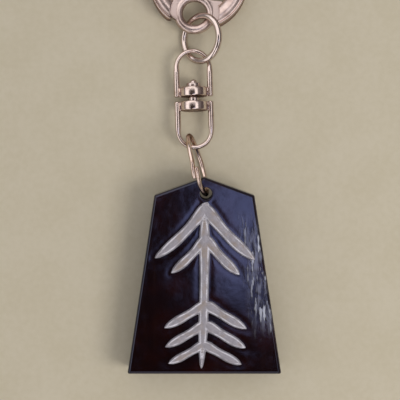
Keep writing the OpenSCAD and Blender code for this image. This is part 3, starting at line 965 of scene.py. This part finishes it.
spring_low = tongue_high + run_gap + spring_wire / 2
spring_high = slot_h / 2 - run_gap - spring_wire / 2
spring_r = pin_d / 2 + run_gap + spring_wire
coil_turn = np.linspace(0, 2 * np.pi * spring_turns, spring_steps)
coil = np.stack([spring_r * np.cos(coil_turn), spring_r * np.sin(coil_turn),
                 np.linspace(spring_low, spring_high, spring_steps)], -1)
legs = [coil[i] + sign * spring_leg * np.array([-np.sin(coil_turn[i]), np.cos(coil_turn[i]), 0])
        for i, sign in ((0, -1), (-1, 1))]
spring_path = np.vstack([legs[0], coil, legs[1]])
spring_steel = plated("spring_steel", tint=(0.6, 0.6, 0.62, 1), shade=(0.35, 0.34, 0.34, 1), roughness=0.28,
                      haze=0.1, scratch=0.004)
add_piece(skin("spring", [wire(spring_path, (0, 0, 1), spring_wire)], pin_place), "key_ring",
          spring_steel, "gate_spring")

# The table is a plain sheet of pale paper. One broad, soft lamp lights it from the right, and the
# camera looks straight down from 300 mm. The room has panels of light that only mirrored rays see.
paper_shade = (0.565, 0.49, 0.35, 1)
paper_light = (0.605, 0.53, 0.395, 1)
fibre_size = 1.5
blotch_size = 12
paper_relief = 0.05

# Sizes and places of the floor, the lamp and the camera, in metres, and the camera's film, in mm
floor_size = 4.0
lamp_size = 0.3
lamp_power = 2.0
lamp_at = (0.42, -0.2, 0.55)
camera_height = 0.3
camera_at = (-0.00106, -0.01793)
view_width = 0.1
film_width = 36


def pale_table():
    """Plain matt paper of a warm pale tone."""
    f = Finish(bpy.data.materials.new("table"))
    fibre = f.noise(fibre_size, detail=3) * 0.5 + f.noise(blotch_size) * 0.5
    colour = f.mixed(f.between(0.3, 0.7, fibre), paper_shade, paper_light)
    return f.ready({"Base Color": colour, "Roughness": 0.85, "Normal": f.bump(fibre, paper_relief)})


# Panels of the room that the metal and the lacquer mirror, each over the ones before it: from and
# to in degrees right of straight up, how soft those two edges are, the same towards the chain's
# far end, and its light
plain_light = (0.56, 0.57, 0.6, 1)
room_light = (0.24, 0.21, 0.21, 1)
panels = [
    (-74, -42, 10, -80, 80, 14, (1.3, 1.22, 1.22, 1)),
    (-46, 16, 10, 11, 70, 3, (1.3, 1.2, 1.19, 1)),
    (-30, 8, 8, -75, 11, 3, (0.03, 0.018, 0.014, 1)),
    (-12, 22, 8, -70, -30, 8, (1.5, 1.4, 1.4, 1)),
    (12, 34, 6, -28, 15, 8, (1.3, 1.22, 1.22, 1)),
    (0.5, 12, 1.5, -8.5, -1.5, 4, (1.5, 1.55, 2.2, 1)),
    (42, 60, 6, -80, 80, 10, (0.2, 0.17, 0.17, 1)),
    (60, 90, 6, -80, 80, 10, (0.1, 0.08, 0.08, 1))]


def room():
    """The world: a plain soft light, in which mirrored rays see the panels of the room."""
    f = Finish(bpy.data.worlds.new("studio"), "Generated")
    up = f.along("Z")
    across = f.node("ShaderNodeMath", {"operation": "ARCTAN2"}, {0: f.along("X"), 1: up})
    along = f.node("ShaderNodeMath", {"operation": "ARCTAN2"}, {0: f.along("Y"), 1: up})
    seen = room_light
    for left, right, soft, low, high, fade, light in panels:
        share = 1
        for at, start, stop, edge in ((across, left, right, soft), (along, low, high, fade)):
            opens = f.between(np.radians(start - edge / 2), np.radians(start + edge / 2), at)
            shuts = f.between(np.radians(stop + edge / 2), np.radians(stop - edge / 2), at)
            share = share * opens * shuts
        seen = f.mixed(share, seen, light)
    mirrored = f.node("ShaderNodeLightPath", {}, {}, "Is Glossy Ray")
    lit = f.node("ShaderNodeBackground", {}, {"Color": f.mixed(mirrored, plain_light, seen)})
    f.node("ShaderNodeOutputWorld", {}, {"Surface": lit})
    return f.owner


reach = floor_size / 2
sheet = bpy.data.meshes.new("table")
sheet.from_pydata([(-reach, -reach, 0), (reach, -reach, 0), (reach, reach, 0), (-reach, reach, 0)], [],
                  [(0, 1, 2, 3)])
sheet.materials.append(pale_table())
table = bpy.data.objects.new("table", sheet)
bpy.context.scene.collection.objects.link(table)

lamp = bpy.data.lights.new("lamp", "AREA")
lamp.size = lamp_size
lamp.energy = lamp_power
holder = bpy.data.objects.new("lamp", lamp)
holder.location = lamp_at
holder.rotation_euler = (-holder.location).to_track_quat("-Z", "Y").to_euler()
holder.visible_glossy = False
bpy.context.scene.collection.objects.link(holder)
bpy.context.scene.world = room()

camera = bpy.data.cameras.new("camera")
camera.sensor_width = film_width
camera.lens = film_width * camera_height / view_width
tripod = bpy.data.objects.new("camera", camera)
tripod.location = (*camera_at, camera_height)
bpy.context.scene.collection.objects.link(tripod)
bpy.context.scene.camera = tripod
bpy.context.scene.view_settings.view_transform = "Standard"
